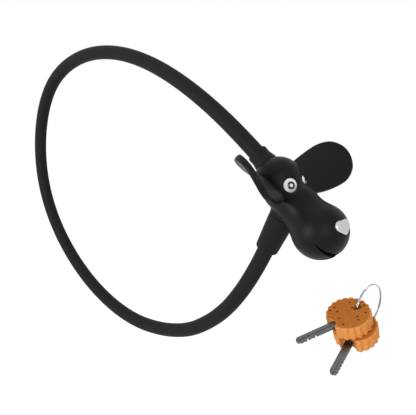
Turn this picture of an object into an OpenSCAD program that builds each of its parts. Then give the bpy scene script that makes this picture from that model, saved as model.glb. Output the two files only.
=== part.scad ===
/* [Cable] */
// width of the cable loop, mm
loop_span = 265; // [220:5:320]
// outside diameter of the soft sleeve on the cable, mm
cable_d = 10; // [8:0.5:12]
// diameter of the steel rope inside the sleeve, mm
core_d = 5; // [4:0.5:6]

/* [Head] */
// diameter of the skull ball, mm
skull_d = 28; // [27:0.5:34]
// diameter of the muzzle ball, mm
muzzle_d = 31.6; // [30:0.2:38]
// diameter of the narrow part between skull and muzzle, mm
waist_d = 25; // [24.5:0.5:27]
// forward distance from skull centre to muzzle centre, mm
muzzle_x = 37; // [36.5:0.5:44]
// length of an ear from its root, mm
ear_len = 39.4; // [32:0.2:48]
// greatest width of an ear, mm
ear_w = 28.2; // [23:0.2:34]
// thickness of an ear, mm
ear_t = 4; // [3:0.2:5]
// diameter of an eye, mm
eye_d = 7.5; // [6:0.1:9]
// width of the nose button, mm
nose_w = 12.8; // [10.6:0.2:15.4]

/* [Lock] */
// diameter of the locking pin on the plug, mm
pin_d = 7; // [6.6:0.1:7.4]
// diameter of the turning key cylinder, mm
rotor_d = 8; // [7.8:0.1:8.4]
// length of the grip sleeve on the plug, mm
grip_len = 24.6; // [23.2:0.2:32]

/* [Keys] */
// diameter of a biscuit key head over its scallops, mm
biscuit_d = 33.6; // [28:0.2:41]
// thickness of a biscuit key head, mm
biscuit_t = 11; // [9:0.5:13]
// number of scallops round a biscuit
scallops = 20; // [14:1:26]
// length of key blade outside the rim of the biscuit, mm
blade_len = 27; // [21:0.5:34]
// width of a key blade, mm
blade_w = 5.8; // [5:0.1:6]
// thickness of a key blade, mm
blade_t = 2; // [1.6:0.1:2.1]
// middle diameter of the split ring, mm
ring_d = 34; // [28:0.5:40]

/* [Hidden] */
$fn = 96;
fit = 0.05;                       // clearance of fixed parts, each side
slide = 0.1;                      // clearance of moving parts, each side

// frames
k = loop_span / 265;              // loop growth
head_x = 138.5 * k;               // skull centre
head_z = 34.5 * k;
head_pitch = 35;                  // muzzle points down by this angle
plug_x = 15.5;                    // middle of the socket mouth, head frame
plug_z = -14.5;
plug_lean = 11;                   // the plug leans back in the head frame

// head
skull_r = skull_d / 2;
muzzle_r = muzzle_d / 2;
muzzle_z = -0.7;
skull_lift = 0.6;                 // skull sits this much above the muzzle line
waist_r = waist_d / 2;
waist_x = 18;
function blend_r(run, big) = (run * run + waist_r * waist_r - big * big) / (2 * (big - waist_r));
back_r = blend_r(waist_x, skull_r);
front_r = blend_r(muzzle_x - waist_x, muzzle_r);
back_a = atan2(waist_r + back_r, waist_x);
front_a = atan2(waist_r + front_r, waist_x - muzzle_x);
function arc(x, y, r, a0, a1, n) =
    [for (i = [0 : n]) let (a = a0 + (a1 - a0) * i / n) [y + r * sin(a), x + r * cos(a)]];
head_line = concat([[0, -skull_r * cos(6)]], arc(0, 0, skull_r, 174, back_a, 14),
    arc(waist_x, waist_r + back_r, back_r, back_a + 180 + (90 - back_a) / 4, 270, 3),
    arc(waist_x, waist_r + front_r, front_r, 270 + (front_a - 90) / 4, front_a + 180, 3),
    arc(muzzle_x, 0, muzzle_r, front_a - 6, 6, 15), [[0, muzzle_x + muzzle_r * cos(6)]]);

// cable fixing
boot_z = 2;                       // height of the boot axis, head frame
boot_x = -21.3;                   // mouth of the boot
boot_r = cable_d / 2 + 1.1;
boot_root_r = 7.1;
sleeve_end_x = -13.2;
ferrule_r = 4.25;
ferrule_x = -12.5;
ferrule_len = 15.9;
anchor_x = 1.2;
anchor_r = 1.2;
core_r = core_d / 2;

// plug and socket, plug frame
pin_r = pin_d / 2;
pin_len = 18.5;
pin_cone = 2.2;
groove_z = 8.9;
groove_top = 14.3;
groove_r = pin_r - 1.3;
bore_r = pin_r + slide;
bore_len = 19.6;
bush_r = pin_r + 1.05;
bush_z = 0.4;
bush_top = 6;
socket_r = 6.2;
socket_len = 15.6;
neck_r = 4.7;
neck_len = 20.8;
plug_gap = 0.6;
flange_r = 5;
flange_z = -3;
spigot_r = core_r + 0.5;
spigot_z = -11;
ferrule_end_z = -19;
grip_r = 7.9;
grip_tail_r = cable_d / 2 + 2;
grip_top = 2.2;                   // the grip's rim reaches over the socket by this much
grip_end_z = grip_top - grip_len;
skirt_r = socket_r + 0.35;
recess_r = grip_r + 0.35;
recess_top = grip_top + plug_gap;
throat_r = grip_r + 0.4;

// latch, plug frame
latch_x0 = groove_r + 0.25;
latch_x1 = 6.4;
latch_y = 5;
latch_z0 = 9.5;
latch_z1 = 13.5;
cap_y = -8.1;
cap_t = 0.6;
block_x0 = 1;
block_x1 = 8.2;
block_y1 = 6.5;
block_z0 = 8.3;
block_z1 = 15.1;

// cylinder lock, head frame
lock_z = -4.2;
barrel_x = 18;
barrel_r = 6.2;
lock_front = 43;
rotor_r = rotor_d / 2;
rotor_x = 21.9;
shell_in = rotor_r + fit;
shell_out = 5.15;
shell_x = 22;
flange_t = 1;
rotor_flange_r = 4.7;
keyway_w = 6.2;
keyway_t = 2.2;
keyway_x = 24;
cam_x = 20.7;
cam_t = 1.2;
cam_r = 4.6;
stub_r = 0.8;
crank_r = 1.7;
crank_pin_r = 0.8;
crank_x = 17.35;
crank_y = crank_r * cos(45);
crank_z = lock_z + crank_r * sin(45);
wafer_x = 25.5;
wafer_n = 5;
wafer_pitch = 3.2;
wafer_t = 1;
wafer_y = 3.55;
wafer_z = 1.7;
spring_r = 0.4;
spring_wire = 0.2;
spring_z = 2.45;
spring_y = 1.4;
spring_rings = 9;
lug_y = 1.6;
lug_w = 0.75;
lug_z = 2.95;

// face
mouth_y = 14.5;                   // corner of the smile, from the middle
mouth_top = 1.3;                  // height of the corners
lip_z = -1.9;                     // upper lip at the middle
jaw_z = -5.5;                     // lower lip at the middle
mouth_deep = 2.5;
upper_lip_r = (mouth_y * mouth_y + pow(mouth_top - lip_z, 2)) / (2 * (mouth_top - lip_z));
lower_lip_r = (mouth_y * mouth_y + pow(mouth_top - jaw_z, 2)) / (2 * (mouth_top - jaw_z));
nose_up = 60;                     // angle of the nose above the muzzle axis
nose_r = 3;
nose_sink = 2.4;
nose_proud = 0.9;
nose_side = nose_w / 2 - nose_r;
nose_pts = [[-nose_side, 1], [0, -1.6], [nose_side, 1]];
eye_r = eye_d / 2;
pupil_r = eye_r * 0.575;
eye_around = 33.4;                // where the eye sits on the skull
eye_down = 54.4;
eye_turn = 42;                    // where the eye looks
eye_tilt = 44;
eye_out = skull_r + 0.9;
eye_deep = 1.6;
ear_root = [4.8, 12, 3.1];
ear_pitch = 5.9;
ear_roll = 25.4;
ear_bend_r = 27.5;
ear_crown = 1.85;
ear_tip_r = ear_w / 2;
ear_root_w = ear_w * 0.4;
ear_skew = 3;
ear_sink = 4;
ear_mid = ear_len - ear_tip_r;
ear_phi = acos(ear_tip_r / norm([ear_root_w, ear_mid])) - atan2(ear_mid, ear_root_w);

// keys, bunch frame: origin on the upper biscuit, z out of its face
bunch = [head_x + 5.5, 92.2, -111.1 + head_z];
bunch_turn = [0, 23.7, -96];
biscuit_r = biscuit_d / 2;
scallop_r = 1.55 * biscuit_r * 3.1416 / scallops / 2;
stack_gap = 0.2;
bite_r = 6.5;
bite_at = biscuit_r + 0.7;
docker_r = 0.85;
docker_deep = 1.4;
docker_scale = biscuit_r / 17;
docker_pts = [[-10, -5.5], [-12.8, -0.2], [-12.8, 5.2], [-7.2, 10.4], [-6.4, -0.8], [0.1, -12.4],
    [4.6, -13.2], [2.8, -8], [-0.8, 7.5], [1.7, 10.2], [7.5, -7.2], [8, -2.7], [11.2, 3.6], [13.8, -3.6]];
hole_r = 1.2;
hole_pts = [[6.2, 0], [10.4, -1.8], [10.4, 1.8]];
key_1_turn = -25;
key_2_turn = 13;
key_1_hole = key_1_turn + 190;
key_2_hole = key_2_turn + 190;
hole_at = 6;
hook = hole_at * [cos(key_1_hole), sin(key_1_hole)];
key_2_mid = hook - hole_at * [cos(key_2_hole), sin(key_2_hole)];
blade_root = 1;
blade_tip = biscuit_r + blade_len;
blade_groove_w = 1.4;
blade_groove_d = 0.45;
bow_w = 9;
bow_end = 8;
cut_w = 1.1;
cuts_1 = [1.1, 0.6, 1.5, 0.9, 1.3];
cuts_2 = [0.7, 1.4, 0.9, 1.2, 0.6];
cut_x = [for (i = [0 : wafer_n - 1]) blade_tip - (wafer_x + wafer_t / 2 - keyway_x) - i * wafer_pitch];
ring_r = ring_d / 2;
ring_turn = 182;
ring_z = -biscuit_t - stack_gap / 2;
ring_wire = 0.7;                  // half width of one turn of the wire
ring_half = 0.35;                 // half height of one turn
ring_step = 0.74;                 // rise from turn to turn
ring_gap = 12;                    // angle between the crossover and each end
ring_sides = 8;
ring_count = 117;

// cable route in the loop plane, boot end to plug end
route = [[122.2, 48.4], [100, 62.5], [77.5, 75.5], [53.5, 86.5], [29, 95.5], [3.5, 101.2],
    [-22.5, 103.4], [-48.5, 101.4], [-74, 94], [-96.5, 81], [-114.5, 62], [-126, 38.5],
    [-130.5, 12.5], [-127, -13], [-117, -37], [-101.5, -58.5], [-81.5, -75.5], [-58.5, -88.5],
    [-34, -97.5], [-8.5, -101.5], [18, -101.5], [44, -97], [68.5, -87.4], [90, -72],
    [108, -52.4], [122, -30.5], [133.8, -6.7]];
function from_head(x, z) = [head_x + x * cos(head_pitch) + z * sin(head_pitch),
    head_z - x * sin(head_pitch) + z * cos(head_pitch)];
function from_plug(z) = from_head(plug_x - z * sin(plug_lean), plug_z + z * cos(plug_lean));
last = len(route) - 1;
way = [for (i = [1 : last - 1]) k * route[i]];
sleeve_way = concat([from_head(sleeve_end_x, boot_z), from_head(boot_x, boot_z)], way,
    [from_plug(-22.4), from_plug(ferrule_end_z)]);
core_way = concat([from_head(-1, boot_z), from_head(boot_x, boot_z)], way,
    [from_plug(-22.4), from_plug(spigot_z)]);
tube_sides = 12;

// ---- helpers -------------------------------------------------------------
module in_head() {
    translate([head_x, 0, head_z]) rotate([0, head_pitch, 0]) children();
}

module in_plug() {
    in_head() translate([plug_x, 0, plug_z]) rotate([0, -plug_lean, 0]) children();
}

module in_bunch() {
    translate(bunch) rotate(bunch_turn) children();
}

// a cylinder along x from x0 to x1 at height z
module rod(x0, x1, z, r) {
    translate([x0, 0, z]) rotate([0, 90, 0]) cylinder(r = r, h = x1 - x0);
}

// a polygon with true round corners; points run counter-clockwise, and the straight
// sides stop a hair inside the corner circles so that no sliver is left between them
function edge_out(p, i) = let (d = p[(i + 1) % len(p)] - p[i]) [d[1], -d[0]] / norm(d);
module round_poly(p, r) {
    inner = r - 0.003;
    polygon([for (i = [0 : len(p) - 1]) for (s = [0, 1]) p[(i + s) % len(p)] + inner * edge_out(p, i)]);
    for (q = p) {
        translate(q) circle(r);
    }
}

// sweeping in the loop plane
function heading(w, i) = let (d = w[min(i + 1, len(w) - 1)] - w[max(i - 1, 0)]) d / norm(d);
function hoop(w, i, r) = [for (j = [0 : tube_sides - 1]) let (a = 360 * j / tube_sides, t = heading(w, i))
    [w[i][0] - t[1] * r * cos(a), r * sin(a), w[i][1] + t[0] * r * cos(a)]];

module cord(w, r) {
    n = len(w);
    m = tube_sides;
    pts = [for (i = [0 : n - 1]) each hoop(w, i, r)];
    sides = [for (i = [0 : n - 2]) for (j = [0 : m - 1]) let (q = (j + 1) % m)
        [i * m + j, i * m + q, (i + 1) * m + q, (i + 1) * m + j]];
    first = [for (j = [m - 1 : -1 : 0]) j];
    final = [for (j = [0 : m - 1]) (n - 1) * m + j];
    polyhedron(points = pts, faces = concat([first], sides, [final]), convexity = 6);
}

module hose(w, ro, ri) {
    n = len(w);
    m = tube_sides;
    o = n * m;
    pts = concat([for (i = [0 : n - 1]) each hoop(w, i, ro)], [for (i = [0 : n - 1]) each hoop(w, i, ri)]);
    outer = [for (i = [0 : n - 2]) for (j = [0 : m - 1]) let (q = (j + 1) % m)
        [i * m + j, i * m + q, (i + 1) * m + q, (i + 1) * m + j]];
    inner = [for (i = [0 : n - 2]) for (j = [0 : m - 1]) let (q = (j + 1) % m)
        [o + i * m + j, o + (i + 1) * m + j, o + (i + 1) * m + q, o + i * m + q]];
    first = [for (j = [0 : m - 1]) let (q = (j + 1) % m) [j, o + j, o + q, q]];
    e = (n - 1) * m;
    final = [for (j = [0 : m - 1]) let (q = (j + 1) % m) [e + j, e + q, o + e + q, o + e + j]];
    polyhedron(points = pts, faces = concat(outer, inner, first, final), convexity = 6);
}

// ---- shared shapes of the head -------------------------------------------
module body_shape(g) {
    rod(barrel_x, lock_front + g, lock_z, barrel_r + g);
    rod(-12.6 - g, 7.6, boot_z, 6 + g);
    translate([plug_x, 0, plug_z]) rotate([0, -plug_lean, 0]) {
        cylinder(r = socket_r + g, h = socket_len + g);
        cylinder(r = neck_r + g, h = neck_len + g);
        translate([block_x0 - g, cap_y - g, block_z0 - g])
            cube([block_x1 - block_x0 + 2 * g, block_y1 - cap_y + 2 * g, block_z1 - block_z0 + 2 * g]);
    }
}

module boot_shape() {
    rod(boot_x + 0.6, -20.1, boot_z, boot_r + 0.25);
    rod(boot_x, -14.5, boot_z, boot_r);
    translate([-14.5, 0, boot_z]) rotate([0, 90, 0]) cylinder(r1 = boot_r, r2 = boot_root_r, h = 2);
    rod(-12.5, -10.5, boot_z, boot_root_r);
}

module ear_shape() {
    translate(ear_root) rotate([ear_roll, 0, 0]) rotate([0, ear_pitch, ear_skew]) intersection() {
        translate([0, 0, -12]) linear_extrude(24) {
            translate([0, ear_mid]) circle(ear_tip_r);
            polygon([[-ear_root_w, -ear_sink], [ear_root_w, -ear_sink], [ear_root_w, 0],
                [ear_tip_r * cos(ear_phi), ear_mid + ear_tip_r * sin(ear_phi)],
                [-ear_tip_r * cos(ear_phi), ear_mid + ear_tip_r * sin(ear_phi)], [-ear_root_w, 0]]);
        }
        translate([0, -ear_sink - 1, ear_crown - ear_bend_r]) rotate([-90, 0, 0]) difference() {
            cylinder(r = ear_bend_r + ear_t / 2, h = ear_len + ear_sink + 2);
            translate([0, 0, -1]) cylinder(r = ear_bend_r - ear_t / 2, h = ear_len + ear_sink + 4);
        }
    }
}

module at_eye(side) {
    d = [sin(eye_down) * cos(eye_around), side * sin(eye_down) * sin(eye_around), cos(eye_down)];
    translate(eye_out * d) rotate([0, eye_tilt, side * eye_turn]) children();
}

module at_nose() {
    translate([muzzle_x, 0, muzzle_z]) rotate([0, 90 - nose_up, 0]) rotate([0, 0, 90]) children();
}

module muzzle_ball(g) {
    translate([muzzle_x, 0, muzzle_z]) sphere(r = muzzle_r + g);
}

module mouth_cut() {
    difference() {
        translate([muzzle_x, 0, 0]) rotate([90, 0, 90]) linear_extrude(30) difference() {
            translate([0, jaw_z + lower_lip_r]) circle(lower_lip_r);
            translate([0, lip_z + upper_lip_r]) circle(upper_lip_r);
        }
        muzzle_ball(-mouth_deep);
    }
    translate([lock_front - 1, -4.2, lock_z - 1.3]) cube([20, 8.4, 2.6]);
}

// ---- metal lock ----------------------------------------------------------
module lock_body() color("silver") in_head() difference() {
    body_shape(0);
    rod(shell_x, lock_front + 1, lock_z, shell_out);
    rod(20.4, shell_x + 1, lock_z, cam_r + 0.4);
    intersection() {
        rod(15.5, 21, lock_z, crank_r + crank_pin_r + 0.1);
        translate([15, -5, lock_z - 0.2]) cube([8, 10, 5]);
    }
    rod(-13, 3.5, boot_z, ferrule_r + fit);
    translate([anchor_x, 7, boot_z]) rotate([90, 0, 0]) cylinder(r = anchor_r + fit, h = 14);
    translate([plug_x, 0, plug_z]) rotate([0, -plug_lean, 0]) {
        translate([0, 0, -1]) cylinder(r = bore_r, h = bore_len + 1);
        translate([0, 0, -1]) cylinder(r = bush_r, h = bush_top + 1);
        translate([latch_x0 - 0.15, cap_y - 1, latch_z0 - 0.15])
            cube([latch_x1 - latch_x0 + 0.3, latch_y + 0.95 - cap_y + 1, latch_z1 - latch_z0 + 0.3]);
    }
}

module cylinder_sleeve() color("goldenrod") in_head() difference() {
    rod(shell_x, lock_front, lock_z, shell_out);
    rod(shell_x - 1, lock_front + 1, lock_z, shell_in);
    rod(lock_front - flange_t - fit, lock_front + 1, lock_z, rotor_flange_r + fit);
    translate([wafer_x - 1, -4.75, lock_z - 1.9]) cube([wafer_n * wafer_pitch + 0.6, 9.5, 3.8]);
}

module rotor() color("silver") in_head() difference() {
    union() {
        rod(rotor_x, lock_front, lock_z, rotor_r);
        rod(lock_front - flange_t, lock_front, lock_z, rotor_flange_r);
        rod(cam_x, rotor_x + 1, lock_z, stub_r);
    }
    translate([keyway_x, -keyway_w / 2, lock_z - keyway_t / 2]) cube([20, keyway_w, keyway_t]);
    for (i = [0 : wafer_n - 1]) {
        translate([wafer_x + i * wafer_pitch - fit, -wafer_y - fit, lock_z - wafer_z - fit])
            cube([wafer_t + 2 * fit, 2 * (wafer_y + fit), 2 * (wafer_z + fit)]);
        translate([wafer_x + i * wafer_pitch - 0.15, -spring_y - spring_wire - fit, lock_z + 1])
            cube([wafer_t + 0.3, spring_y + spring_wire + lug_y + lug_w + 2 * fit, lug_z - 0.9]);
    }
}

module wafers() color("goldenrod") in_head() {
    for (i = [0 : wafer_n - 1]) {
        translate([wafer_x + i * wafer_pitch, 0, lock_z]) {
            difference() {
                translate([0, -wafer_y, -wafer_z]) cube([wafer_t, 2 * wafer_y, 2 * wafer_z]);
                translate([-1, -keyway_w / 2 + 0.05, -keyway_t / 2 - 0.05])
                    cube([3, keyway_w, keyway_t + 0.1]);
            }
            translate([0, lug_y, wafer_z - 0.1]) cube([wafer_t, lug_w, lug_z - wafer_z + 0.1]);
        }
    }
}

module wafer_springs() color("silver") in_head() {
    for (i = [0 : wafer_n - 1]) {
        translate([wafer_x + i * wafer_pitch + wafer_t / 2, 0, lock_z + spring_z]) rotate([90, 0, 0])
            rotate_extrude($fn = 24) {
                for (j = [0 : spring_rings - 1]) {
                    translate([spring_r, -spring_y + 2 * spring_y * j / (spring_rings - 1)])
                        circle(spring_wire, $fn = 16);
                }
            }
    }
}

module cam() color("goldenrod") in_head() {
    difference() {
        rod(cam_x, cam_x + cam_t, lock_z, cam_r);
        rod(cam_x - 1, cam_x + cam_t + 1, lock_z, stub_r);
    }
    translate([0, crank_y, 0]) rod(crank_x, cam_x + 0.2, crank_z, crank_pin_r);
}

module latch_plate() color("silver") difference() {
    in_plug() difference() {
        translate([latch_x0, -latch_y, latch_z0])
            cube([latch_x1 - latch_x0, 2 * latch_y, latch_z1 - latch_z0]);
        translate([0, 0, latch_z0 - 1]) cylinder(r = bore_r + fit, h = latch_z1 - latch_z0 + 2);
    }
    in_head() translate([crank_x - 0.3, crank_y - 0.92, lock_z - 0.1]) cube([6, 1.84, 2.75]);
}

module latch_cap() color("silver") in_plug() {
    translate([latch_x0 - 0.15, cap_y, latch_z0 - 0.15])
        cube([latch_x1 - latch_x0 + 0.3, cap_t, latch_z1 - latch_z0 + 0.3]);
}

module fixed_ferrule() color("silver") in_head() difference() {
    rod(ferrule_x, ferrule_x + ferrule_len, boot_z, ferrule_r);
    rod(ferrule_x - 1, -1, boot_z, core_r + fit);
    translate([anchor_x, 7, boot_z]) rotate([90, 0, 0]) cylinder(r = anchor_r + fit, h = 14);
}

module anchor_pin() color("silver") in_head() difference() {
    translate([anchor_x, 5.7, boot_z]) rotate([90, 0, 0]) cylinder(r = anchor_r, h = 11.4);
    translate([anchor_x, 6.7, boot_z]) rotate([90, 0, 0]) cylinder(r = anchor_r * 0.6, h = 13.4);
    translate([anchor_x, -7, boot_z - 0.2]) cube([2, 14, 0.4]);
}

module socket_bush() color("goldenrod") in_plug() difference() {
    translate([0, 0, bush_z]) cylinder(r = bush_r, h = bush_top - bush_z);
    translate([0, 0, bush_z - 1]) cylinder(r = pin_r + fit, h = bush_top - bush_z + 2);
}

// ---- rubber head ---------------------------------------------------------
module head_skin() color("dimgray") in_head() difference() {
    union() {
        translate([0, 0, skull_lift]) rotate([0, atan2(skull_lift - muzzle_z, muzzle_x), 0])
            rotate([0, 90, 0]) rotate_extrude() polygon(head_line);
        translate([plug_x, 0, plug_z]) rotate([0, -plug_lean, 0]) translate([0, 0, recess_top])
            cylinder(r = throat_r, h = 5);
    }
    translate([plug_x, 0, plug_z]) rotate([0, -plug_lean, 0]) translate([0, 0, recess_top - 20])
        cylinder(r = recess_r, h = 20);
    body_shape(fit);
    boot_shape();
    mouth_cut();
    ear_shape();
    mirror([0, 1, 0]) ear_shape();
    for (s = [-1, 1]) {
        at_eye(s) translate([0, 0, -eye_deep]) cylinder(r = eye_r, h = 10);
    }
    at_nose() translate([0, 0, muzzle_r - nose_sink]) linear_extrude(10) round_poly(nose_pts, nose_r + 0.5);
}

module left_ear() color("dimgray") in_head() ear_shape();

module right_ear() color("dimgray") in_head() mirror([0, 1, 0]) ear_shape();

module eye(side) in_head() at_eye(side) difference() {
    intersection() {
        translate([0, 0, -eye_deep]) cylinder(r = eye_r, h = 4);
        translate([0, 0, 0.8 - 1.7 * eye_r]) sphere(r = 1.7 * eye_r);
    }
    translate([0, 0, 0]) cylinder(r = pupil_r, h = 4);
}

module left_eye() color("white") eye(1);

module right_eye() color("white") eye(-1);

module pupil(side) in_head() at_eye(side) intersection() {
    cylinder(r = pupil_r, h = 4);
    translate([0, 0, 0.95 - 1.7 * eye_r]) sphere(r = 1.7 * eye_r);
}

module left_pupil() color("black") pupil(1);

module right_pupil() color("black") pupil(-1);

module nose_button() color("silver") in_head() intersection() {
    at_nose() translate([0, 0, muzzle_r - nose_sink]) linear_extrude(8) round_poly(nose_pts, nose_r);
    muzzle_ball(nose_proud);
}

module cable_boot() color("dimgray") in_head() difference() {
    boot_shape();
    rod(boot_x - 1, sleeve_end_x, boot_z, cable_d / 2 + fit);
    rod(boot_x - 1, 0, boot_z, ferrule_r + fit);
    rod(-12.6 - fit, 0, boot_z, 6 + fit);
}

// ---- cable ---------------------------------------------------------------
module cable_sleeve() color("dimgray") hose(sleeve_way, cable_d / 2, core_r + fit);

module cable_core() color("silver") cord(core_way, core_r);

// ---- plug ----------------------------------------------------------------
module plug_pin() color("silver") in_plug() {
    rotate_extrude() polygon([[0, spigot_z], [spigot_r, spigot_z], [spigot_r, flange_z],
        [flange_r, flange_z], [flange_r, flange_z + 2], [pin_r, flange_z + 2], [pin_r, groove_z],
        [groove_r, groove_z + 0.4], [groove_r, groove_top - 0.4], [pin_r, groove_top],
        [pin_r, pin_len - pin_cone], [pin_r - 2, pin_len], [0, pin_len]]);
}

module plug_ferrule() color("silver") in_plug() difference() {
    translate([0, 0, ferrule_end_z]) cylinder(r = ferrule_r, h = flange_z - ferrule_end_z);
    translate([0, 0, ferrule_end_z - 1]) cylinder(r = core_r + fit, h = 20);
    translate([0, 0, spigot_z]) cylinder(r = spigot_r, h = 20);
}

module plug_sleeve() color("dimgray") in_plug() {
    rotate_extrude() polygon([[flange_r, -plug_gap], [skirt_r, -plug_gap], [skirt_r, grip_top],
        [grip_r - 0.4, grip_top], [grip_r, grip_top - 0.4], [grip_r, -plug_gap - 1.6],
        [grip_r - 0.2, -plug_gap - 3.6], [grip_tail_r, grip_end_z + 2], [grip_tail_r - 0.6, grip_end_z + 0.6],
        [grip_tail_r - 1.6, grip_end_z],
        [cable_d / 2 + fit, grip_end_z], [cable_d / 2 + fit, ferrule_end_z], [ferrule_r, ferrule_end_z],
        [ferrule_r, flange_z], [flange_r, flange_z]]);
}

// ---- keys ----------------------------------------------------------------
function ring_pt(i, j) = let (a = ring_gap + (720 - 2 * ring_gap) * i / (ring_count - 1),
    b = 360 * (j + 0.5) / ring_sides, r = ring_r + ring_wire * cos(b),
    rise = ring_step / 2 * min(1, max(-1, (a - 360) / ring_gap)))
    [r * cos(a), r * sin(a), rise + ring_half * sin(b)];

module split_ring() color("silver") in_bunch()
    translate([hook[0] + ring_r * cos(ring_turn), hook[1] + ring_r * sin(ring_turn), ring_z])
    rotate([0, 0, ring_turn]) rotate([90, 0, 0]) {
        n = ring_count;
        m = ring_sides;
        pts = [for (i = [0 : n - 1]) for (j = [0 : m - 1]) ring_pt(i, j)];
        sides = [for (i = [0 : n - 2]) for (j = [0 : m - 1]) let (q = (j + 1) % m)
            [i * m + j, (i + 1) * m + j, (i + 1) * m + q, i * m + q]];
        first = [for (j = [0 : m - 1]) j];
        final = [for (j = [m - 1 : -1 : 0]) (n - 1) * m + j];
        polyhedron(points = pts, faces = concat([first], sides, [final]), convexity = 8);
    }

module blade(cuts) translate([0, 0, -biscuit_t / 2 - blade_t / 2]) difference() {
    union() {
        linear_extrude(blade_t) {
            translate([blade_root, -blade_w / 2]) square([blade_tip - blade_w / 2 - blade_root, blade_w]);
            translate([blade_tip - blade_w / 2, 0]) circle(blade_w / 2);
            translate([blade_root, -bow_w / 2]) square([bow_end - blade_root, bow_w]);
        }
    }
    for (z = [-1, blade_t - blade_groove_d]) {
        translate([biscuit_r - 3.5, 0.2, z]) cube([blade_len + 6, blade_groove_w, 1 + blade_groove_d]);
    }
    for (i = [0 : wafer_n - 1]) {
        translate([cut_x[i], blade_w / 2 - cuts[i], -1]) linear_extrude(blade_t + 2)
            polygon([[-0.35, 0], [0.35, 0], [cut_w, 3], [-cut_w, 3]]);
    }
}

module biscuit(turn, hole) translate([0, 0, -biscuit_t]) difference() {
    linear_extrude(biscuit_t) difference() {
        union() {
            circle(biscuit_r - scallop_r * 0.55);
            for (i = [0 : scallops - 1]) {
                rotate(360 * (i + 0.5) / scallops) translate([biscuit_r - scallop_r, 0])
                    circle(scallop_r, $fn = 32);
            }
        }
        rotate(turn) translate([bite_at, 0]) circle(bite_r);
        rotate(hole) round_poly(hole_pts, hole_r);
    }
    for (z = [-1, biscuit_t - docker_deep]) {
        translate([0, 0, z]) linear_extrude(docker_deep + 1) {
            for (p = docker_pts) {
                if (norm(docker_scale * p - bite_at * [cos(turn), sin(turn)]) > bite_r + 2) {
                    translate(docker_scale * p) circle(docker_r, $fn = 24);
                }
            }
        }
    }
}

module key_1_blade() color("silver") in_bunch() rotate(key_1_turn) blade(cuts_1);

module key_1_biscuit() color("orange") in_bunch() difference() {
    biscuit(key_1_turn, key_1_hole);
    rotate(key_1_turn) blade([0, 0, 0, 0, 0]);
}

module in_key_2() {
    in_bunch() translate([key_2_mid[0], key_2_mid[1], -biscuit_t - stack_gap]) children();
}

module key_2_blade() color("silver") in_key_2() rotate(key_2_turn) blade(cuts_2);

module key_2_biscuit() color("orange") in_key_2() difference() {
    biscuit(key_2_turn, key_2_hole);
    rotate(key_2_turn) blade([0, 0, 0, 0, 0]);
}

lock_body();
cylinder_sleeve();
rotor();
wafers();
wafer_springs();
cam();
latch_plate();
latch_cap();
fixed_ferrule();
anchor_pin();
socket_bush();
head_skin();
left_ear();
right_ear();
left_eye();
right_eye();
left_pupil();
right_pupil();
nose_button();
cable_boot();
cable_sleeve();
cable_core();
plug_pin();
plug_ferrule();
plug_sleeve();
split_ring();
key_1_blade();
key_1_biscuit();
key_2_blade();
key_2_biscuit();
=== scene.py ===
import math

import bpy
from mathutils import Euler, Matrix, Vector


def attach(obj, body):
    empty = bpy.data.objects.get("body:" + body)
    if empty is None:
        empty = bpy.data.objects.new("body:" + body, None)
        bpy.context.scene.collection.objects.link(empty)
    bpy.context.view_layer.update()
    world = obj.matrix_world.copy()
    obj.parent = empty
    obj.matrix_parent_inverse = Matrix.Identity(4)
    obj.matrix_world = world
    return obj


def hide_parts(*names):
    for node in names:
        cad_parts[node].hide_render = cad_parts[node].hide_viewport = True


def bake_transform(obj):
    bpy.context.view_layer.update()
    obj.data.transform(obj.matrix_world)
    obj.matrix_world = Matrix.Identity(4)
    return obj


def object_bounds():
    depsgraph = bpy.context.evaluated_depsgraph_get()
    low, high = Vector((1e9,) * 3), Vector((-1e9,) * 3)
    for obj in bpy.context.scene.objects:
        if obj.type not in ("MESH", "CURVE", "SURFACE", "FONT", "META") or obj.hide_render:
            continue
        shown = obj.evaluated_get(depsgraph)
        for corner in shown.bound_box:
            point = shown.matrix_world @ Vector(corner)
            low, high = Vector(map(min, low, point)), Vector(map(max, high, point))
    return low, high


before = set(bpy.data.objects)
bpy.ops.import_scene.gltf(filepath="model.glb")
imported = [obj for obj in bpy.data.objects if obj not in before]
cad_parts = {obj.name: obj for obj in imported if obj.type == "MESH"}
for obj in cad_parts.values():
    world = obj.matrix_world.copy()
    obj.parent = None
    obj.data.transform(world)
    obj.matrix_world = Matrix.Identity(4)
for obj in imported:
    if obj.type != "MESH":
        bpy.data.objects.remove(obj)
cad_low, cad_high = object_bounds()
MM = 0.001

# ---------------------------------------------------------------------------
# Camera
# The lock is seen from its right front and a little above, so that the head
# shows its right eye, its nose and the side of its smile.
# ---------------------------------------------------------------------------
bpy.ops.object.camera_add(
    location=(308.6 * MM, -236.3 * MM, 97.9 * MM),
    rotation=(math.radians(74.481), math.radians(-2.049), math.radians(44.064)),
)
camera = bpy.context.object
camera.name = "camera"
camera.data.sensor_width = 36
camera.data.lens = 45
bpy.context.scene.camera = camera


# ---------------------------------------------------------------------------
# Cable
# A steel rope in a hose of soft matte silicone. One end is held in the head,
# the other end carries the plug, and the stiff cable springs out into a loop.
# ---------------------------------------------------------------------------
def only(*things):
    """Selects these things alone; the first is the active one."""
    bpy.ops.object.select_all(action="DESELECT")
    for thing in things:
        thing.select_set(True)
    bpy.context.view_layer.objects.active = things[0]


def settle(thing, place=Matrix.Identity(4)):
    """Puts a thing at its place, and its place into its mesh."""
    only(thing)
    thing.matrix_world = place @ thing.matrix_world
    bpy.ops.object.transform_apply(location=True, rotation=True, scale=True)


def modify(thing, kind, **settings):
    """Adds one modifier and applies it."""
    only(thing)
    change = thing.modifiers.new(kind.lower(), kind)
    for setting, value in settings.items():
        setattr(change, setting, value)
    bpy.ops.object.modifier_apply(modifier=change.name)


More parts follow.
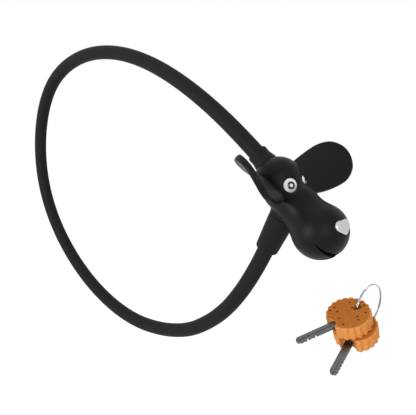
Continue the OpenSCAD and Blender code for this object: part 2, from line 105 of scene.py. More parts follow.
def dress(name, colour, rough, metal=0.0, gloss=0.5, cloud=(60, 0.12), grain=(900, 0.1), fine=0.00004):
    """A finish: its colour and roughness drift in soft clouds, and a fine grain stands on it."""
    made = bpy.data.materials.new(name)
    made.use_nodes = True
    nodes, links = made.node_tree.nodes, made.node_tree.links
    shader = nodes["Principled BSDF"]
    shader.inputs["Metallic"].default_value = metal
    shader.inputs["Specular IOR Level"].default_value = gloss
    where = nodes.new("ShaderNodeTexCoord")
    clouds = nodes.new("ShaderNodeTexNoise")
    clouds.name = "clouds"
    clouds.inputs["Scale"].default_value = cloud[0]
    clouds.inputs["Detail"].default_value = 4
    links.new(where.outputs["Object"], clouds.inputs["Vector"])
    tint = nodes.new("ShaderNodeMix")
    tint.name = "tint"
    tint.data_type = "RGBA"
    tint.inputs["A"].default_value = (*[c * (1 - cloud[1]) for c in colour], 1)
    tint.inputs["B"].default_value = (*[min(1, c * (1 + cloud[1])) for c in colour], 1)
    links.new(clouds.outputs["Fac"], tint.inputs["Factor"])
    links.new(tint.outputs["Result"], shader.inputs["Base Color"])
    grains = nodes.new("ShaderNodeTexNoise")
    grains.name = "grains"
    grains.inputs["Scale"].default_value = grain[0]
    grains.inputs["Detail"].default_value = 3
    links.new(where.outputs["Object"], grains.inputs["Vector"])
    wear = nodes.new("ShaderNodeMapRange")
    wear.inputs["To Min"].default_value = rough - 0.06
    wear.inputs["To Max"].default_value = rough + 0.06
    links.new(clouds.outputs["Fac"], wear.inputs["Value"])
    links.new(wear.outputs["Result"], shader.inputs["Roughness"])
    relief = nodes.new("ShaderNodeBump")
    relief.name = "relief"
    relief.inputs["Strength"].default_value = grain[1]
    relief.inputs["Distance"].default_value = fine
    links.new(grains.outputs["Fac"], relief.inputs["Height"])
    links.new(relief.outputs["Normal"], shader.inputs["Normal"])
    return made


cable_r = 5 * MM
hose_wall = 2.3 * MM
cable_route = [
    (128.8, 43.7), (111.4, 55.5), (93.5, 66.6), (75.0, 76.6), (55.9, 85.4), (36.2, 92.8),
    (15.9, 98.4), (-4.8, 101.9), (-25.8, 102.9), (-46.7, 101.2), (-67.2, 96.4), (-86.5, 88.3),
    (-103.6, 76.4), (-116.9, 60.2), (-125.7, 41.1), (-130.1, 20.5), (-130.0, -0.5),
    (-125.2, -20.9), (-115.9, -39.7), (-102.9, -56.3), (-87.3, -70.4), (-69.8, -82.1),
    (-50.9, -91.3), (-30.9, -97.9), (-10.3, -101.7), (10.8, -102.4), (31.6, -99.7),
    (51.8, -94.2), (71.0, -85.6), (88.3, -73.2), (103.4, -58.3), (115.9, -41.2),
    (126.3, -22.7), (135.1, -3.6),
]


def along(route, steps):
    """Points of the smooth line through a route."""
    points = [Vector((x * MM, 0, z * MM)) for x, z in route]
    points = [2 * points[0] - points[1], *points, 2 * points[-1] - points[-2]]
    line = []
    for a, b, c, d in zip(points, points[1:], points[2:], points[3:]):
        for i in range(steps):
            t = i / steps
            line.append(
                0.5 * (2 * b + (c - a) * t + (2 * a - 5 * b + 4 * c - d) * t * t
                       + (3 * b - a - 3 * c + d) * t ** 3)
            )
    return [*line, points[-2]]


def hose(name, line, radius, sides):
    """A round tube of mesh along a line."""
    curve = bpy.data.curves.new(name, "CURVE")
    curve.dimensions = "3D"
    curve.bevel_depth = radius
    curve.bevel_resolution = sides // 2 - 2
    spline = curve.splines.new("POLY")
    spline.points.add(len(line) - 1)
    for point, spot in zip(spline.points, line):
        point.co = (*spot, 1)
    made = bpy.data.objects.new(name, curve)
    bpy.context.collection.objects.link(made)
    only(made)
    bpy.ops.object.convert(target="MESH")
    bpy.ops.object.shade_smooth()
    return bpy.context.object


def tidy_mesh(thing, gap=0.00001):
    """Merges doubles and turns all faces outwards."""
    only(thing)
    bpy.ops.object.mode_set(mode="EDIT")
    bpy.ops.mesh.select_all(action="SELECT")
    bpy.ops.mesh.remove_doubles(threshold=gap)
    bpy.ops.mesh.normals_make_consistent(inside=False)
    bpy.ops.object.mode_set(mode="OBJECT")


def close_ends(thing):
    """Fills the open ends of a tube."""
    only(thing)
    bpy.ops.object.mode_set(mode="EDIT")
    bpy.ops.mesh.select_all(action="DESELECT")
    bpy.ops.mesh.select_non_manifold()
    bpy.ops.mesh.fill_holes(sides=0)
    bpy.ops.object.mode_set(mode="OBJECT")


cable_line = along(cable_route, 8)
cable_hose = hose("cable_hose", cable_line, cable_r, 32)
tidy_mesh(cable_hose)
modify(cable_hose, "SOLIDIFY", thickness=hose_wall, offset=-1)
silicone = dress(
    "matte_silicone", (0.012, 0.012, 0.0123), 0.6, gloss=0.08, cloud=(45, 0.1), grain=(1400, 0.25)
)
cable_hose.data.materials.clear()
cable_hose.data.materials.append(silicone)
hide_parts("cable_sleeve")

# Six strands are laid round a middle one, one turn in every 26 mm.
strand_r = 0.8 * MM
lay_r = 2 * strand_r
lay_length = 26 * MM
across = Vector((0, 1, 0))
strands = []
run = 0.0
lay = []
for i, spot in enumerate(cable_line):
    ahead = cable_line[min(i + 1, len(cable_line) - 1)] - cable_line[max(i - 1, 0)]
    run += (spot - cable_line[i - 1]).length if i else 0
    lay.append((spot, ahead.normalized(), run))
for s in range(6):
    twist = [
        spot + lay_r * (
            math.cos(2 * math.pi * (s / 6 + run / lay_length)) * across
            + math.sin(2 * math.pi * (s / 6 + run / lay_length)) * ahead.cross(across)
        )
        for spot, ahead, run in lay
    ]
    strands.append(hose(f"strand_{s}", twist, strand_r, 8))
strands.append(hose("strand_middle", cable_line, strand_r, 8))
for strand in strands:
    close_ends(strand)
only(*strands)
bpy.ops.object.join()
rope = bpy.context.object
rope.name = "steel_rope_strands"
tidy_mesh(rope)
rope_steel = dress("rope_steel", (0.42, 0.42, 0.44), 0.38, metal=1.0, grain=(2500, 0.2))
rope.data.materials.clear()
rope.data.materials.append(rope_steel)
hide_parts("cable_core")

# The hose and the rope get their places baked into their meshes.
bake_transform(cable_hose)
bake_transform(rope)

# ---------------------------------------------------------------------------
# Plug
# A turned steel pin with a latch groove and a swaged ferrule on the rope. A
# tapered grip of matte rubber is moulded over them, with a soft rolled tail.
# ---------------------------------------------------------------------------
head_place = Matrix.Translation((138.5 * MM, 0, 34.5 * MM)) @ Matrix.Rotation(math.radians(35), 4, "Y")
plug_turn = Matrix.Translation((15.5 * MM, 0, -14.5 * MM)) @ Matrix.Rotation(math.radians(-11), 4, "Y")
plug_place = head_place @ plug_turn


def turned(name, outline, steps=96):
    """A lathe shape: an outline of (radius, height) in mm, turned round the upright axis."""
    made = bpy.data.meshes.new(name)
    made.from_pydata(
        [(r * MM, 0, z * MM) for r, z in outline],
        [(i, (i + 1) % len(outline)) for i in range(len(outline))],
        [],
    )
    thing = bpy.data.objects.new(name, made)
    bpy.context.collection.objects.link(thing)
    only(thing)
    bpy.ops.object.mode_set(mode="EDIT")
    bpy.ops.mesh.select_all(action="SELECT")
    bpy.ops.mesh.spin(steps=steps, angle=2 * math.pi, center=(0, 0, 0), axis=(0, 0, 1), use_auto_merge=True)
    bpy.ops.object.mode_set(mode="OBJECT")
    tidy_mesh(thing)
    bpy.ops.object.shade_smooth_by_angle(angle=math.radians(40))
    return thing


def rounded(corners, rounds, steps=6):
    """The closed outline with each corner rounded off by its own radius."""
    line = []
    for i, corner in enumerate(corners):
        here = Vector(corner)
        back = (Vector(corners[i - 1]) - here)
        on = (Vector(corners[(i + 1) % len(corners)]) - here)
        if rounds[i] == 0:
            line.append(tuple(here))
            continue
        half = back.angle(on) / 2
        reach = min(rounds[i] / math.tan(half), 0.49 * back.length, 0.49 * on.length)
        start, end = here + back.normalized() * reach, here + on.normalized() * reach
        for s in range(steps + 1):
            t = s / steps
            line.append(tuple((1 - t) ** 2 * start + 2 * t * (1 - t) * here + t * t * end))
    return line


grip_top = 2.2
grip_corners = [
    (6.56, grip_top), (7.9, grip_top), (7.85, -3), (7.05, -19.6), (6.9, -22.4), (5.03, -22.4),
    (5.03, -19.1), (4.3, -19.1), (4.3, -3.05), (5.05, -3.05), (5.05, -0.6), (6.56, -0.6),
]
grip = turned("plug_grip", rounded(grip_corners, [0.2, 0.6, 10, 4, 1.5, 0.15, 0, 0, 0, 0, 0, 0]))
settle(grip, plug_place)
rubber = dress("matte_rubber", (0.0085, 0.0085, 0.0088), 0.55, gloss=0.1, cloud=(70, 0.12), grain=(1500, 0.3))
grip.data.materials.append(rubber)
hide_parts("plug_sleeve")
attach(grip, "plug")

pin_steel = dress("ground_steel", (0.52, 0.52, 0.53), 0.24, metal=1.0, cloud=(200, 0.05), grain=(2200, 0.15))
swaged_steel = dress("swaged_steel", (0.46, 0.46, 0.48), 0.4, metal=1.0, cloud=(300, 0.12), grain=(1200, 0.3))


def paint(node, finish):
    """Gives a carried-over node its finish."""
    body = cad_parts[node].data
    body.materials.clear()
    body.materials.append(finish)


paint("plug_pin", pin_steel)
paint("plug_ferrule", swaged_steel)

# ---------------------------------------------------------------------------
# Metal lock in the head
# A zinc casting holds the wafer cylinder, the latch and the cable's ferrule.
# Its parts are seen only through the socket, when the plug is out.
# ---------------------------------------------------------------------------
cast_zinc = dress("cast_zinc", (0.5, 0.51, 0.53), 0.42, metal=0.9, cloud=(180, 0.12), grain=(700, 0.4))
brass = dress("lock_brass", (0.62, 0.44, 0.17), 0.3, metal=1.0, cloud=(250, 0.12), grain=(1500, 0.2))
plated = dress("nickel_plate", (0.6, 0.59, 0.56), 0.26, metal=1.0, cloud=(220, 0.06), grain=(1600, 0.15))
spring_wire = dress("spring_wire", (0.5, 0.5, 0.52), 0.25, metal=1.0, cloud=(900, 0.1), grain=(3000, 0.2))
latch_steel = dress("latch_steel", (0.4, 0.4, 0.42), 0.34, metal=1.0, cloud=(350, 0.12), grain=(1800, 0.3))
for node, finish in {
    "lock_body": cast_zinc, "cylinder_sleeve": brass, "rotor": plated, "wafers": brass,
    "wafer_springs": spring_wire, "cam": brass, "latch_plate": latch_steel,
    "latch_cap": latch_steel, "fixed_ferrule": swaged_steel, "anchor_pin": latch_steel,
    "socket_bush": brass,
}.items():
    paint(node, finish)

# ---------------------------------------------------------------------------
# Head skin
# One moulding of matte black rubber over the metal lock: a skull ball, a large
# muzzle ball and two broad floppy ears, with openings for eyes, nose and key.
# ---------------------------------------------------------------------------
skull_r, muzzle_r, waist_r = 14.0, 15.8, 12.5
waist_x, muzzle_x = 18.0, 37.0


def head_outline():
    """Half outline of skull and muzzle, (radius, distance along the head)."""
    back_r = (waist_x ** 2 + waist_r ** 2 - skull_r ** 2) / (2 * (skull_r - waist_r))
    run = muzzle_x - waist_x
    front_r = (run ** 2 + waist_r ** 2 - muzzle_r ** 2) / (2 * (muzzle_r - waist_r))
    back_a = math.atan2(waist_r + back_r, waist_x)
    front_a = math.atan2(waist_r + front_r, -run)
    line = []

    def arc(x, r0, r, a0, a1, n):
        for i in range(n + 1):
            a = a0 + (a1 - a0) * i / n
            line.append((r0 + r * math.sin(a), x + r * math.cos(a)))

    arc(0, 0, skull_r, math.pi, back_a, 30)
    arc(waist_x, waist_r + back_r, back_r, back_a + math.pi, 1.5 * math.pi, 8)
    arc(waist_x, waist_r + front_r, front_r, 1.5 * math.pi, front_a + math.pi, 8)
    arc(muzzle_x, 0, muzzle_r, front_a, 0, 30)
    return line


skin = turned("head_skin_moulding", head_outline())
settle(
    skin,
    Matrix.Translation((0, 0, 0.6 * MM)) @ Matrix.Rotation(math.atan2(1.3, muzzle_x) + math.pi / 2, 4, "Y"),
)
for v in skin.data.vertices:
    # the face dips at the eyes and stays low up to the muzzle
    x, away = v.co.x / MM, math.hypot(v.co.y, v.co.z)
    if away > 0:
        upward = (1 + v.co.z / away) / 2
        rise = -1.1 * math.exp(-((x - 24) / 6) ** 2) - 2.4 * math.exp(-((x - 11) / 5) ** 2)
        v.co.yz = v.co.yz * (1 + rise * MM * upward / away)
    # the skull draws in below and behind the ears
    below = (-0.3 * v.co.x + 0.62 * abs(v.co.y) - 0.73 * v.co.z) / v.co.length
    v.co *= 1 - 2.3 * MM / v.co.length * math.exp(-((1 - below) / 0.15) ** 2)

throat = turned("throat", [(0, 10), (8.3, 10), (8.3, 1.5), (0, 1.5)])
settle(throat, plug_turn)

ear_len, ear_half, ear_sunk, ear_t = 36.5, 14.2, 11.2, 3.5


def ear():
    """A broad round flap, slightly cupped and twisted, which grows out of the skull."""
    bpy.ops.object.select_all(action="DESELECT")
    bpy.ops.mesh.primitive_grid_add(x_subdivisions=16, y_subdivisions=16, size=2)
    flap = bpy.context.object
    mid = ear_len - ear_half
    for v in flap.data.vertices:
        # the square grid is drawn out to a disc, and its lower half to a long oval
        across, up = v.co.x * math.sqrt(1 - v.co.y ** 2 / 2), v.co.y * math.sqrt(1 - v.co.x ** 2 / 2)
        x = (ear_half + 0.5) * across
        y = mid + up * (ear_half + 0.5 if up > 0 else mid + ear_sunk)
        z = -0.93 - x * x / 90 + 0.0039 * y * y - 0.005 * x * y
        v.co = (x * MM, y * MM, z * MM)
    modify(flap, "SOLIDIFY", thickness=ear_t * MM, offset=0)
    modify(flap, "SUBSURF", levels=2)
    root = (
        Matrix.Translation((3.9 * MM, 13.4 * MM, 4.2 * MM))
        @ Matrix.Rotation(math.radians(21.9), 4, "X")
        @ Euler((0, math.radians(-5.3), math.radians(0.2))).to_matrix().to_4x4()
    )
    settle(flap, root)
    return flap


left_flap = ear()
right_flap = ear()
settle(right_flap, Matrix.Scale(-1, 4, (0, 1, 0)))
only(right_flap)
bpy.ops.object.mode_set(mode="EDIT")
bpy.ops.mesh.select_all(action="SELECT")
bpy.ops.mesh.normals_make_consistent(inside=False)
bpy.ops.object.mode_set(mode="OBJECT")
only(skin, throat)
bpy.ops.object.join()
modify(skin, "REMESH", mode="VOXEL", voxel_size=0.45 * MM)
modify(skin, "SMOOTH", factor=0.5, iterations=16)
for flap in (left_flap, right_flap):
    modify(skin, "BOOLEAN", operation="UNION", object=flap, solver="EXACT")
    bpy.data.objects.remove(flap)


def cut(thing, tool, keep=False):
    """Cuts a tool out of a thing."""
    modify(thing, "BOOLEAN", operation="DIFFERENCE", object=tool, solver="EXACT")
    if not keep:
        bpy.data.objects.remove(tool)


def rod(x0, x1, z, r, steps=64):
    """A round bar along the head's axis."""
    bpy.ops.object.select_all(action="DESELECT")
    bpy.ops.mesh.primitive_cylinder_add(
        vertices=steps, radius=r * MM, depth=(x1 - x0) * MM,
        location=((x0 + x1) / 2 * MM, 0, z * MM), rotation=(0, math.pi / 2, 0),
    )
    return bpy.context.object


def block(low, high):
    """A box between two corners."""
    bpy.ops.object.select_all(action="DESELECT")
    bpy.ops.mesh.primitive_cube_add(
        size=1, location=[(a + b) / 2 * MM for a, b in zip(low, high)],
        scale=[(b - a) * MM for a, b in zip(low, high)],
    )
    only(bpy.context.object)
    bpy.ops.object.transform_apply(location=True, rotation=True, scale=True)
    return bpy.context.object


def sheet_of(name, outline, x0, x1):
    """A closed prism along the head's axis from an outline of (y, z)."""
    made = bpy.data.meshes.new(name)
    made.from_pydata([(x0 * MM, y * MM, z * MM) for y, z in outline], [], [tuple(range(len(outline)))])
    thing = bpy.data.objects.new(name, made)
    bpy.context.collection.objects.link(thing)
    only(thing)
    bpy.ops.object.mode_set(mode="EDIT")
    bpy.ops.mesh.select_all(action="SELECT")
    bpy.ops.mesh.extrude_region_move(TRANSFORM_OT_translate={"value": ((x1 - x0) * MM, 0, 0)})
    bpy.ops.object.mode_set(mode="OBJECT")
    tidy_mesh(thing)
    return thing


def lip(z_middle, z_corner, y_corner, steps=40):
    """A round lip from one corner of the mouth to the other."""
    rise = z_corner - z_middle
    r = (y_corner ** 2 + rise ** 2) / (2 * rise)
    spread = math.asin(y_corner / r)
    angles = [spread * (2 * i / steps - 1) for i in range(steps + 1)]
    return [(r * math.sin(a), z_middle + r * (1 - math.cos(a))) for a in angles]


# the smile: a crescent between two round lips, sunk into the muzzle
lower_lip, upper_lip = lip(-4.1, 1.0, 14.9), lip(-0.6, 1.0, 14.9)
smile = sheet_of("smile", [*lower_lip, *upper_lip[-2:0:-1]], 37, 57)
bpy.ops.object.select_all(action="DESELECT")
bpy.ops.mesh.primitive_uv_sphere_add(
    segments=96, ring_count=64, radius=13.3 * MM, location=(muzzle_x * MM, 0, -0.7 * MM)
)
tongue = bpy.context.object
settle(tongue)
cut(smile, tongue)
cut(skin, smile)

pockets = [
    rod(18, 43.05, -4.2, 6.25), rod(-12.65, 7.6, 2, 6.05), rod(-21.4, -14.5, 2, 6.4),
    rod(-14.6, -10.5, 2, 7.1), block((41, -4.2, -5.5), (62, 4.2, -2.9)),
]
for pocket in pockets:
    cut(skin, pocket)
for r, foot, top in ((6.25, -3, 15.65), (4.75, -3, 20.85), (8.5, -20, 2.8)):
    bpy.ops.object.select_all(action="DESELECT")
    bpy.ops.mesh.primitive_cylinder_add(
        vertices=96, radius=r * MM, depth=(top - foot) * MM, location=(0, 0, (top + foot) / 2 * MM)
    )
    settle(bpy.context.object, plug_turn)
    cut(skin, bpy.context.object)
latch_box = block((0.95, -8.15, 8.25), (8.25, 6.55, 15.15))
settle(latch_box, plug_turn)
cut(skin, latch_box)

# ---------------------------------------------------------------------------
# Eyes
# Glossy white domes pressed into round sockets, each with a black pupil disc that has a small white spot on
# its top: a painted highlight that stands in for a lamp's reflection.
# ---------------------------------------------------------------------------
# the last radius is that of the painted highlight on each pupil
eye_r, pupil_r, painted_highlight_r = 3.9, 2.25, 0.95
eye_down, eye_around = math.radians(54.4), math.radians(33.4)


def eye_place(side):
    """Where an eye sits on the skull, its axis looking out."""
    out = Vector((
        math.sin(eye_down) * math.cos(eye_around),
        side * math.sin(eye_down) * math.sin(eye_around),
        math.cos(eye_down),
    )) * 14.9 * MM
    look = Euler((0, math.radians(44), side * math.radians(42))).to_matrix().to_4x4()
    return Matrix.Translation(out) @ look


def dome(radius, ball, top, foot):
    """Outline of a domed button."""
    line = [(0, foot), (radius, foot)]
    rim = top - ball + math.sqrt(ball ** 2 - radius ** 2)
    for i in range(13):
        r = radius * (1 - i / 12)
        line.append((r, rim if i == 0 else top - ball + math.sqrt(ball ** 2 - r ** 2)))
    return line


white_plastic = dress("white_plastic", (0.93, 0.93, 0.93), 0.16, cloud=(200, 0.03), grain=(1200, 0.05))
black_plastic = dress("black_plastic", (0.006, 0.006, 0.006), 0.14, cloud=(200, 0.1), grain=(1200, 0.05))
for side, name in ((1, "left"), (-1, "right")):
    place = eye_place(side)
    bpy.ops.object.select_all(action="DESELECT")
    bpy.ops.mesh.primitive_cylinder_add(
        vertices=96, radius=(eye_r + 0.12) * MM, depth=12 * MM, location=(0, 0, 4.4 * MM)
    )
    hole = bpy.context.object
    settle(hole, place)
    cut(skin, hole)
    ball = turned(name + "_eye_dome", dome(eye_r, 1.7 * eye_r, 0.8, -1.55))
    settle(ball, head_place @ place)
    ball.data.materials.append(white_plastic)
    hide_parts(name + "_eye")
    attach(ball, "head")
    disc = turned(name + "_pupil_dome", dome(pupil_r, 1.7 * eye_r, 0.95, -0.2))
    disc.data.materials.append(black_plastic)
    disc.data.materials.append(white_plastic)
    # the middle of each pupil's top turns white: a painted highlight
    for face in disc.data.polygons:
        on_top = face.center.z > 0.5 * MM
        face.material_index = int(on_top and math.hypot(face.center.x, face.center.y) < painted_highlight_r * MM)
    settle(disc, head_place @ place)
    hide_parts(name + "_pupil")
    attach(disc, "head")

# ---------------------------------------------------------------------------
# Nose
# A satin silver button with three round corners and a bevelled bright rim,
# glued into a pocket at the top of the muzzle.
# ---------------------------------------------------------------------------
nose_place = (
    Matrix.Translation((muzzle_x * MM, 0, -0.7 * MM))
    @ Matrix.Rotation(math.radians(33), 4, "Y")
    @ Matrix.Rotation(math.radians(90), 4, "Z")
)


def nose_ring(radius, shrink=1.0, steps=12):
    """The rounded triangle of the nose: three corner arcs, seen from its front."""
    corners = [((-3.5, 1.0), 90, 239), ((0, -1.1), 239, 301), ((3.5, 1.0), 301, 450)]
    ring = []
    for (x, y), start, end in corners:
        for s in range(steps + 1):
            a = math.radians(start + (end - start) * s / steps)
            ring.append(((x + radius * math.cos(a)) * shrink, (y + radius * math.sin(a)) * shrink))
    return ring


def nose_stack(name, rings):
    """A closed button from a stack of rings of (x, y, z), foot first."""
    count = len(rings[0])
    spots = [(x * MM, y * MM, z * MM) for ring in rings for x, y, z in ring]
    faces = [tuple(range(count))[::-1]]
    for i in range(len(rings) - 1):
        for j in range(count):
            k = (j + 1) % count
            faces.append((i * count + j, i * count + k, (i + 1) * count + k, (i + 1) * count + j))
    faces.append(tuple(range((len(rings) - 1) * count, len(rings) * count)))
    made = bpy.data.meshes.new(name)
    made.from_pydata(spots, [], faces)
    thing = bpy.data.objects.new(name, made)
    bpy.context.collection.objects.link(thing)
    tidy_mesh(thing, 0.000001)
    return thing


def level_ring(radius, z):
    return [(x, y, z) for x, y in nose_ring(radius)]


def domed_ring(radius, shrink, drop):
    """A ring that lies on a ball about the middle of the muzzle."""
    return [(x, y, math.sqrt(16.3 ** 2 - x * x - y * y) - drop) for x, y in nose_ring(radius, shrink)]


hollow = nose_stack("hollow", [level_ring(3.1, 13.3), level_ring(3.1, 24)])
settle(hollow, nose_place)
cut(skin, hollow)
nose = nose_stack("nose", [
    level_ring(3.0, 13.45), domed_ring(3.0, 1, 0.75), domed_ring(2.95, 1, 0.45),
    domed_ring(2.4, 1, 0.08), domed_ring(2.2, 1, 0.0), domed_ring(2.2, 0.85, 0.1),
    domed_ring(2.2, 0.6, 0.12), domed_ring(2.2, 0.3, 0.12),
])
nose.name = "nose_button_satin"
settle(nose, head_place @ nose_place)
only(nose)
bpy.ops.object.shade_smooth_by_angle(angle=math.radians(35))
satin_silver = dress("satin_silver", (0.56, 0.56, 0.57), 0.3, metal=0.7, cloud=(320, 0.06), grain=(1600, 0.2))
nose.data.materials.append(satin_silver)
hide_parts("nose_button")
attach(nose, "head")

settle(skin, head_place)
only(skin)
bpy.ops.object.shade_smooth_by_angle(angle=math.radians(38))
skin.name = "head_skin_moulding"
skin_rubber = dress(
    "head_rubber", (0.0045, 0.0045, 0.0047), 0.44, gloss=0.13, cloud=(55, 0.12), grain=(1500, 0.3)
)
skin.data.materials.clear()
skin.data.materials.append(skin_rubber)
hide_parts("head_skin", "left_ear", "right_ear")
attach(skin, "head")

# ---------------------------------------------------------------------------
# Boot
# A short rubber collar round the fixed end of the cable, with a rolled rim,
# pushed into the back of the skull.
# ---------------------------------------------------------------------------
boot_corners = [
    (5.03, -21.3), (6.2, -21.3), (6.05, -17.5), (6.9, -12.9), (7.05, -12), (7.05, -10.5), (6.06, -10.5),
    (6.06, -12.66), (4.35, -12.66), (4.35, -13.2), (5.03, -13.2),
]
boot = turned("cable_boot_collar", rounded(boot_corners, [0.2, 0.7, 6, 1, 0.5, 0, 0, 0, 0, 0, 0]))
settle(boot, head_place @ Matrix.Translation((0, 0, 2 * MM)) @ Matrix.Rotation(math.pi / 2, 4, "Y"))
boot.data.materials.append(rubber)
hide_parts("cable_boot")
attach(boot, "head")

# ---------------------------------------------------------------------------
# Keys
# Each key is a stamped steel blade moulded into a scalloped biscuit of soft
# orange rubber, baked brown on its faces, with docker holes and one bite.
# ---------------------------------------------------------------------------
bunch_place = (
    Matrix.Translation((144 * MM, 92.2 * MM, -76.6 * MM))
    @ Euler((0, math.radians(23.7), math.radians(-96))).to_matrix().to_4x4()
)
biscuit_t, hole_at = 11.0, 6.0
key_turns = {"key_1": math.radians(-25), "key_2": math.radians(13)}


def hole_way(key):
    """From the middle of a biscuit to the inner end of its key hole."""
    a = key_turns[key] + math.radians(190)
    return Vector((hole_at * math.cos(a), hole_at * math.sin(a), 0))


biscuit_middles = {
    "key_1": Vector((0, 0, -biscuit_t / 2)),
    "key_2": hole_way("key_1") - hole_way("key_2") + Vector((0, 0, -1.5 * biscuit_t - 0.2)),
}


def copy_of(node, name):
    """A new merged mesh of a node's shape."""
    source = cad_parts[node]
    made = bpy.data.objects.new(name, source.data.copy())
    bpy.context.collection.objects.link(made)
    tidy_mesh(made, 0.000002)
    made.data.materials.clear()
    return made


def bake(biscuit, key):
    """Marks crust, painted shade in the docker holes and crumb on a biscuit, as attributes of its points."""
    marks = {
        mark: biscuit.data.attributes.new(mark, "FLOAT", "POINT").data for mark in ("crust", "pit_shade", "crumb")
    }
    to_bunch = bunch_place.inverted()
    turn = key_turns[key]
    bite = Vector((17.5 * math.cos(turn), 17.5 * math.sin(turn)))
    for i, v in enumerate(biscuit.data.vertices):
        spot = (to_bunch @ v.co) / MM - biscuit_middles[key]
        deep = biscuit_t / 2 - abs(spot.z)
        out = math.hypot(spot.x, spot.y)
        edge = min(1, max(0, (16.2 - out) / 1.2))
        marks["crust"][i].value = edge * min(1, max(0, (1.0 - deep) / 0.8))
        # painted shade: the deeper a point lies in a docker hole, the darker it is painted
        marks["pit_shade"][i].value = min(1, max(0, (deep - 0.15) / 0.5)) if out < 14.9 and deep < 1.6 else 0
        marks["crumb"][i].value = min(1, max(0, (7.4 - (spot.xy - bite).length) / 0.5))


def biscuit_finish():
    """Soft orange rubber, browner on the baked faces, with painted shade darkest in the holes, rough in the
    bite.
    """
    made = dress(
        "biscuit_rubber", wall_orange, 0.62, gloss=0.15, cloud=(220, 0.08), grain=(700, 0.6), fine=0.00012
    )
    nodes, links = made.node_tree.nodes, made.node_tree.links
    shader = nodes["Principled BSDF"]
    last = nodes["tint"].outputs["Result"]
    # the pit layer is painted shade in the docker holes
    for mark, colour, strength in (
        ("crust", crust_brown, 1.0), ("crumb", crumb_orange, 0.8), ("pit_shade", pit_shade_colour, 0.9),
    ):
        read = nodes.new("ShaderNodeAttribute")
        read.attribute_name = mark
        share = nodes.new("ShaderNodeMath")
        share.operation = "MULTIPLY"
        share.inputs[1].default_value = strength
        links.new(read.outputs["Fac"], share.inputs[0])
        layer = nodes.new("ShaderNodeMix")
        layer.data_type = "RGBA"
        layer.inputs["B"].default_value = (*colour, 1)
        links.new(share.outputs["Value"], layer.inputs["Factor"])
        links.new(last, layer.inputs["A"])
        last = layer.outputs["Result"]
    # fine toasted specks over the whole biscuit
    where = nodes.new("ShaderNodeTexCoord")
    specks = nodes.new("ShaderNodeTexNoise")
    specks.inputs["Scale"].default_value = 900
    specks.inputs["Detail"].default_value = 5
    links.new(where.outputs["Object"], specks.inputs["Vector"])
    spread = nodes.new("ShaderNodeMapRange")
    spread.inputs["From Min"].default_value = 0.35
    spread.inputs["From Max"].default_value = 0.7
    spread.inputs["To Min"].default_value = 0.82
    spread.inputs["To Max"].default_value = 1.1
    links.new(specks.outputs["Fac"], spread.inputs["Value"])
    toast = nodes.new("ShaderNodeMix")
    toast.data_type = "RGBA"
    toast.blend_type = "MULTIPLY"
    toast.inputs["Factor"].default_value = 1
    links.new(last, toast.inputs["A"])
    links.new(spread.outputs["Result"], toast.inputs["B"])
    links.new(toast.outputs["Result"], shader.inputs["Base Color"])
    return made


wall_orange = (0.84, 0.33, 0.085)
crust_brown = (0.5, 0.155, 0.02)
crumb_orange = (0.62, 0.22, 0.045)
# the colour of the painted shade deep in the docker holes
pit_shade_colour = (0.16, 0.05, 0.012)
biscuit_rubber = biscuit_finish()
key_steel = dress("key_steel", (0.15, 0.15, 0.15), 0.34, metal=1.0, cloud=(260, 0.22), grain=(1500, 0.45))
for key in ("key_1", "key_2"):
    biscuit = copy_of(key + "_biscuit", key + "_biscuit_moulding")
    modify(biscuit, "REMESH", mode="VOXEL", voxel_size=0.3 * MM)
    modify(biscuit, "SMOOTH", factor=0.5, iterations=8)
    bake(biscuit, key)
    only(biscuit)
    bpy.ops.object.shade_smooth()
    biscuit.data.materials.clear()
    biscuit.data.materials.append(biscuit_rubber)
    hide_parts(key + "_biscuit")
    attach(biscuit, key)
    blade = copy_of(key + "_blade", key + "_blade_stamped")
    modify(blade, "BEVEL", width=0.16 * MM, segments=2, limit_method="ANGLE", angle_limit=math.radians(40))
    only(blade)
    bpy.ops.object.shade_smooth_by_angle(angle=math.radians(35))
    blade.data.materials.append(key_steel)
    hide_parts(key + "_blade")
    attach(blade, key)

# ---------------------------------------------------------------------------
# Split ring
# Two close turns of flat nickel-plated wire, with a small step where one turn
# crosses to the other.
# ---------------------------------------------------------------------------
ring_r, ring_turn = 17.0, math.radians(182)
ring_out = Vector((math.cos(ring_turn), math.sin(ring_turn), 0))
ring_place = (
    bunch_place
    @ Matrix.Translation((hole_way("key_1") + ring_r * ring_out - Vector((0, 0, biscuit_t + 0.1))) * MM)
    @ Matrix.Rotation(ring_turn, 4, "Z")
    @ Matrix.Rotation(math.pi / 2, 4, "X")
)
ring_gap, ring_step, crossing = 12, 0.84, 80
coil_steps = 232
coil = []
for i in range(coil_steps + 1):
    a = ring_gap + (720 - 2 * ring_gap) * i / coil_steps
    rise = ring_step / 2 * min(1, max(-1, (a - 360) / ring_gap))
    around = math.radians(a + crossing)
    coil.append(Vector((ring_r * math.cos(around), ring_r * math.sin(around), rise)) * MM)
ring = hose("split_ring_wire", coil, ring_step / 2 * MM, 12)
close_ends(ring)
tidy_mesh(ring)
settle(ring, ring_place)
ring_steel = dress("ring_nickel", (0.42, 0.42, 0.43), 0.16, metal=1.0, cloud=(300, 0.08), grain=(1500, 0.15))
ring.data.materials.clear()
ring.data.materials.append(ring_steel)
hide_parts("split_ring")
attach(ring, "key_ring")

# ---------------------------------------------------------------------------
# Studio
# A plain pale floor with soft lamps from the front and above. The floor lies
# a little below the lock, because the loop dips when the plug is pulled.
# ---------------------------------------------------------------------------
floor_z = cad_low.z - 24 * MM
bpy.ops.object.select_all(action="DESELECT")
bpy.ops.mesh.primitive_plane_add(size=8, location=(0, 0, floor_z))
floor = bpy.context.object
floor.name = "floor"


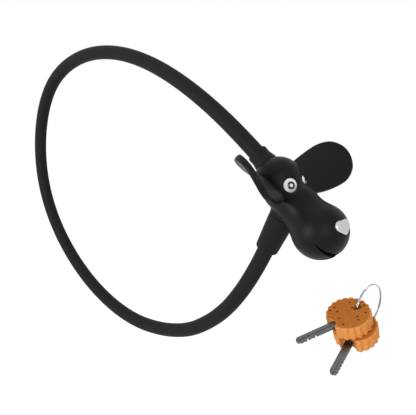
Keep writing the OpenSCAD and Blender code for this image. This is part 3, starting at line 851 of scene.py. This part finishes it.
def seen_directly(nodes, links):
    """1 for rays that show a thing itself: from the camera, off a gloss or through glass."""
    path = nodes.new("ShaderNodeLightPath")
    either = nodes.new("ShaderNodeMath")
    either.operation = "MAXIMUM"
    links.new(path.outputs["Is Camera Ray"], either.inputs[0])
    links.new(path.outputs["Is Glossy Ray"], either.inputs[1])
    any_of = nodes.new("ShaderNodeMath")
    any_of.operation = "MAXIMUM"
    links.new(either.outputs["Value"], any_of.inputs[0])
    links.new(path.outputs["Is Transmission Ray"], any_of.inputs[1])
    return any_of.outputs["Value"]


paper = bpy.data.materials.new("studio_paper")
paper.use_nodes = True
nodes, links = paper.node_tree.nodes, paper.node_tree.links
nodes.remove(nodes["Principled BSDF"])
matt = nodes.new("ShaderNodeBsdfDiffuse")
matt.inputs["Color"].default_value = (0.85, 0.85, 0.85, 1)
shaded = nodes.new("ShaderNodeBsdfDiffuse")
shaded.inputs["Color"].default_value = (0.46, 0.46, 0.46, 1)
bright = nodes.new("ShaderNodeEmission")
bright.inputs["Strength"].default_value = 0.73
shown = nodes.new("ShaderNodeAddShader")
links.new(shaded.outputs["BSDF"], shown.inputs[0])
links.new(bright.outputs["Emission"], shown.inputs[1])
choice = nodes.new("ShaderNodeMixShader")
links.new(seen_directly(nodes, links), choice.inputs["Fac"])
links.new(matt.outputs["BSDF"], choice.inputs[1])
links.new(shown.outputs["Shader"], choice.inputs[2])
links.new(choice.outputs["Shader"], nodes["Material Output"].inputs["Surface"])
floor.data.materials.append(paper)

world = bpy.data.worlds.new("studio")
bpy.context.scene.world = world
world.use_nodes = True
air, links = world.node_tree.nodes, world.node_tree.links
level = air.new("ShaderNodeMapRange")
level.inputs["To Min"].default_value = 0.6
level.inputs["To Max"].default_value = 1.0
links.new(seen_directly(air, links), level.inputs["Value"])
sky = air["Background"]
sky.inputs["Color"].default_value = (1, 1, 1, 1)
links.new(level.outputs["Result"], sky.inputs["Strength"])


def softbox(name, spot, target, size, power):
    """A square soft lamp that looks at a target."""
    bpy.ops.object.light_add(type="AREA", location=spot)
    lamp = bpy.context.object
    lamp.name = name
    lamp.data.size = size
    lamp.data.energy = power
    lamp.rotation_euler = (Vector(target) - Vector(spot)).to_track_quat("-Z", "Y").to_euler()
    return lamp


softbox("left_box", (-0.06, -0.8, 0.12), (0.1, 0, 0), 0.32, 3.6)
softbox("right_box", (0.75, -0.45, 0.3), (0.1, 0, 0), 0.4, 1.6)
softbox("top_box", (0.1, -0.1, 1.1), (0.05, 0, 0), 0.8, 0.5)

bpy.context.scene.view_settings.view_transform = "Standard"
